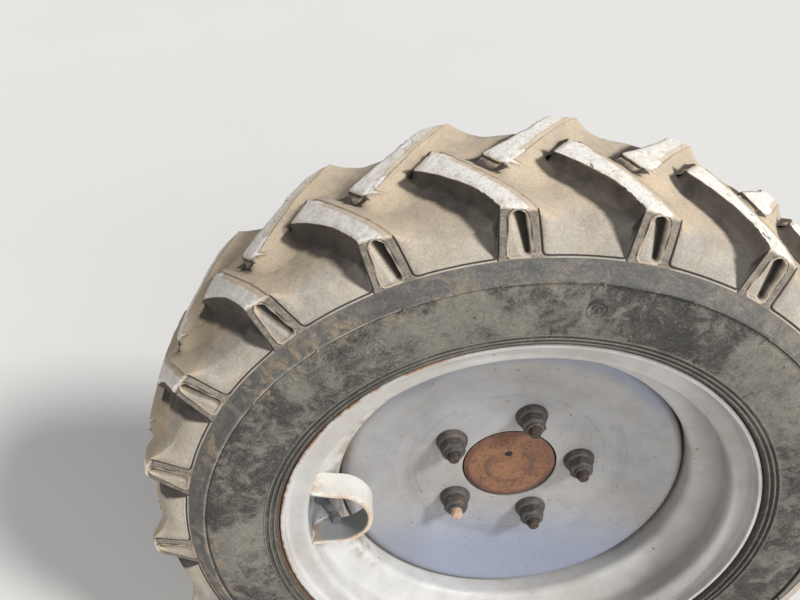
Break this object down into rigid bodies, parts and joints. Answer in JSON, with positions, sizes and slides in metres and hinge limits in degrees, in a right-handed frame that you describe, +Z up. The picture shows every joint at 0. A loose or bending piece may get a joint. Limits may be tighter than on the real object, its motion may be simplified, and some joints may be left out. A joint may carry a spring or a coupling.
{
  "type": "off-road wheel with hub and axle end",
  "caption": "Traction wheel with slanted tyre lugs, silver steel wheel, valve guard, studded hub, and the bearing housing that carries it.",
  "frame": {"origin": "centre of the axle housing's bolt flange, on its mounting face", "axes": "+Y along the wheel's axis towards the vehicle, -Y to the wheel's outer side, +Z up"},
  "size_m": [0.7116, 0.2119, 0.7116],
  "materials": {
    "tyre_rubber": "dusty worn rubber",
    "silver_paint": "silver-white paint with rust spots",
    "valve_rubber": "matt black rubber",
    "rusty_steel": "bare steel, rusted brown",
    "dark_steel": "dark oiled steel with rust",
    "housing_paint": "dark grey paint with dirt",
    "seal_rubber": "oiled black rubber"
  },
  "bodies": {
    "axle": {"axle_housing": "housing_paint", "seal_ring": "seal_rubber"},
    "wheel": {"tyre": "tyre_rubber", "rim": "silver_paint", "wheel_disc": "silver_paint", "valve_guard": "silver_paint", "valve_stem": "valve_rubber", "valve_cap": "valve_rubber", "hub": "rusty_steel", "lock_nut": "dark_steel", "wheel_stud_1": "dark_steel", "nut_collar_1": "dark_steel", "wheel_nut_1": "dark_steel", "wheel_stud_2": "dark_steel", "nut_collar_2": "dark_steel", "wheel_nut_2": "dark_steel", "wheel_stud_3": "dark_steel", "nut_collar_3": "dark_steel", "wheel_nut_3": "dark_steel", "wheel_stud_4": "dark_steel", "nut_collar_4": "dark_steel", "wheel_nut_4": "dark_steel", "wheel_stud_5": "dark_steel", "nut_collar_5": "dark_steel", "wheel_nut_5": "dark_steel"}
  },
  "joints": [
    {"name": "wheel_spin", "type": "hinge", "parent": "axle", "child": "wheel", "pos_m": [0, -0.12, 0], "axis": [0, 1, 0], "continuous": true}
  ]
}
